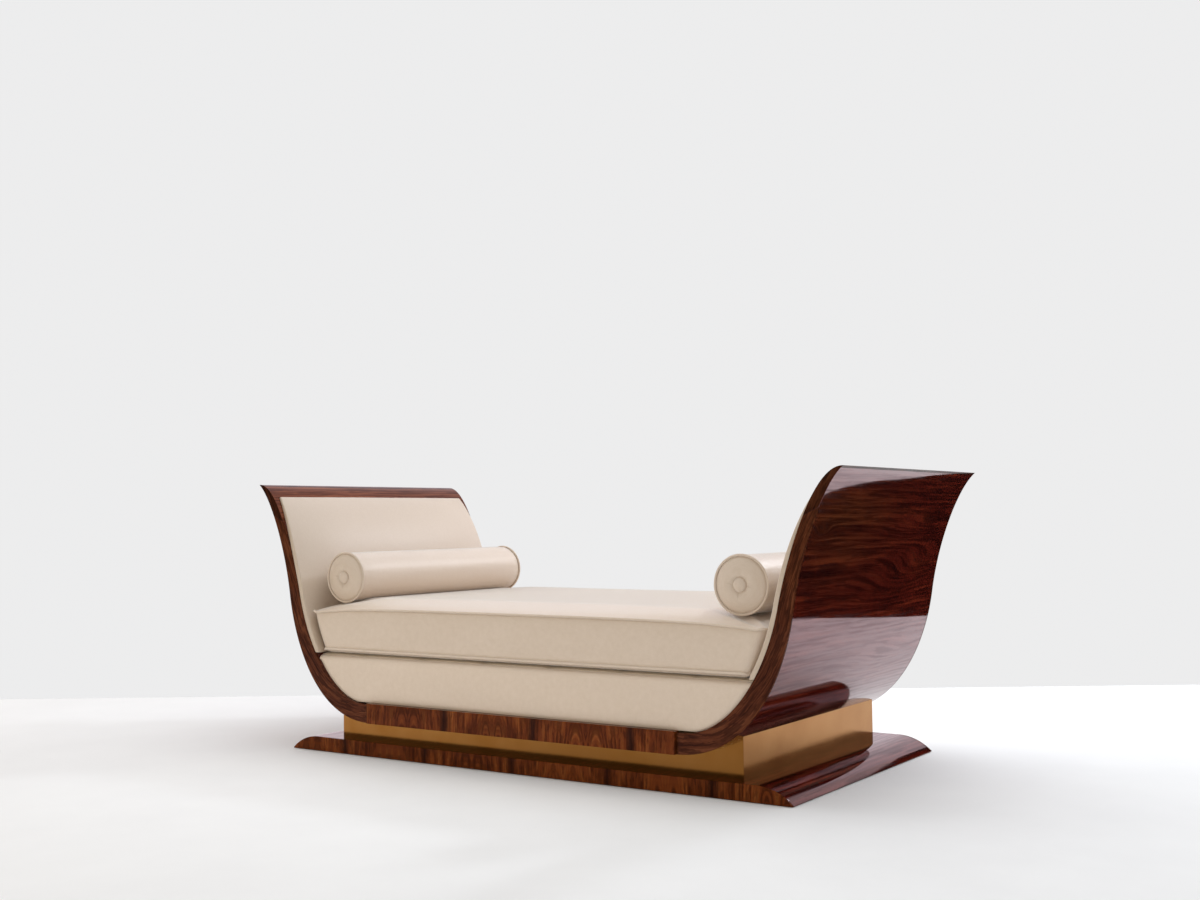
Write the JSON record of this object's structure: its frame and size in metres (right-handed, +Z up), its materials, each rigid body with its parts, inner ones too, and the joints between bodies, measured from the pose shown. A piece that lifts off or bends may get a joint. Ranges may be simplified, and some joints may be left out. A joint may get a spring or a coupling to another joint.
{
  "type": "recamier",
  "caption": "Double-ended daybed with S-curved rosewood ends, a brass-clad pedestal on a low plinth, a sprung seat, a loose crowned cushion and loose piped bolsters.",
  "frame": {"origin": "on the floor, under the middle of the daybed", "axes": "+X along the length towards the right end as seen from the front, +Y from front to back, +Z up"},
  "size_m": [2.087, 0.978, 0.85],
  "materials": {
    "felt": "dense grey felt",
    "rosewood": "high-gloss red-brown rosewood veneer, streaky figure across the ends",
    "edge_rosewood": "polished brown rosewood, grain along the curve",
    "crossband": "polished cross-banded rosewood, dark upright streaks",
    "core_wood": "plain sawn beech",
    "brass": "satin golden brass sheet",
    "steel": "zinc-plated",
    "webbing": "woven jute",
    "upholstery": "fine cream satin weave",
    "cushion_fabric": "fine cream satin weave",
    "bolster_fabric": "fine cream satin weave"
  },
  "bodies": {
    "daybed": {"floor_glides": "felt", "base_board": "rosewood", "base_left_nosing": "rosewood", "base_right_nosing": "rosewood", "left_end_board": "rosewood", "right_end_board": "rosewood", "left_crest": "rosewood", "right_crest": "rosewood", "left_front_edge_band": "edge_rosewood", "left_back_edge_band": "edge_rosewood", "right_front_edge_band": "edge_rosewood", "right_back_edge_band": "edge_rosewood", "base_front_lipping": "crossband", "base_back_lipping": "crossband", "front_rail": "crossband", "back_rail": "crossband", "pedestal_front_board": "core_wood", "pedestal_back_board": "core_wood", "pedestal_left_board": "core_wood", "pedestal_right_board": "core_wood", "pedestal_cross_rails": "core_wood", "corner_blocks": "core_wood", "bottom_board": "core_wood", "body_dowels": "core_wood", "frame_front_rail": "core_wood", "frame_back_rail": "core_wood", "frame_left_rail": "core_wood", "frame_right_rail": "core_wood", "frame_stretchers": "core_wood", "brass_front_sheet": "brass", "brass_back_sheet": "brass", "brass_left_sheet": "brass", "brass_right_sheet": "brass", "plinth_bolts": "steel", "body_bolts": "steel", "cross_webbing": "webbing", "long_webbing": "webbing", "deck_pad": "upholstery", "front_apron": "upholstery", "back_apron": "upholstery", "left_end_pad": "upholstery", "right_end_pad": "upholstery"},
    "cushion": {"seat_cushion": "cushion_fabric"},
    "left_bolster": {"left_bolster": "bolster_fabric", "left_bolster_buttons": "bolster_fabric"},
    "right_bolster": {"right_bolster": "bolster_fabric", "right_bolster_buttons": "bolster_fabric"}
  },
  "joints": [
    {"name": "cushion_lift", "type": "slide", "parent": "daybed", "child": "cushion", "axis": [0, 0, 1], "range_m": [0, 0.6]},
    {"name": "left_bolster_lift", "type": "slide", "parent": "cushion", "child": "left_bolster", "axis": [0, 0, 1], "range_m": [0, 0.45]},
    {"name": "right_bolster_lift", "type": "slide", "parent": "cushion", "child": "right_bolster", "axis": [0, 0, 1], "range_m": [0, 0.45]}
  ]
}
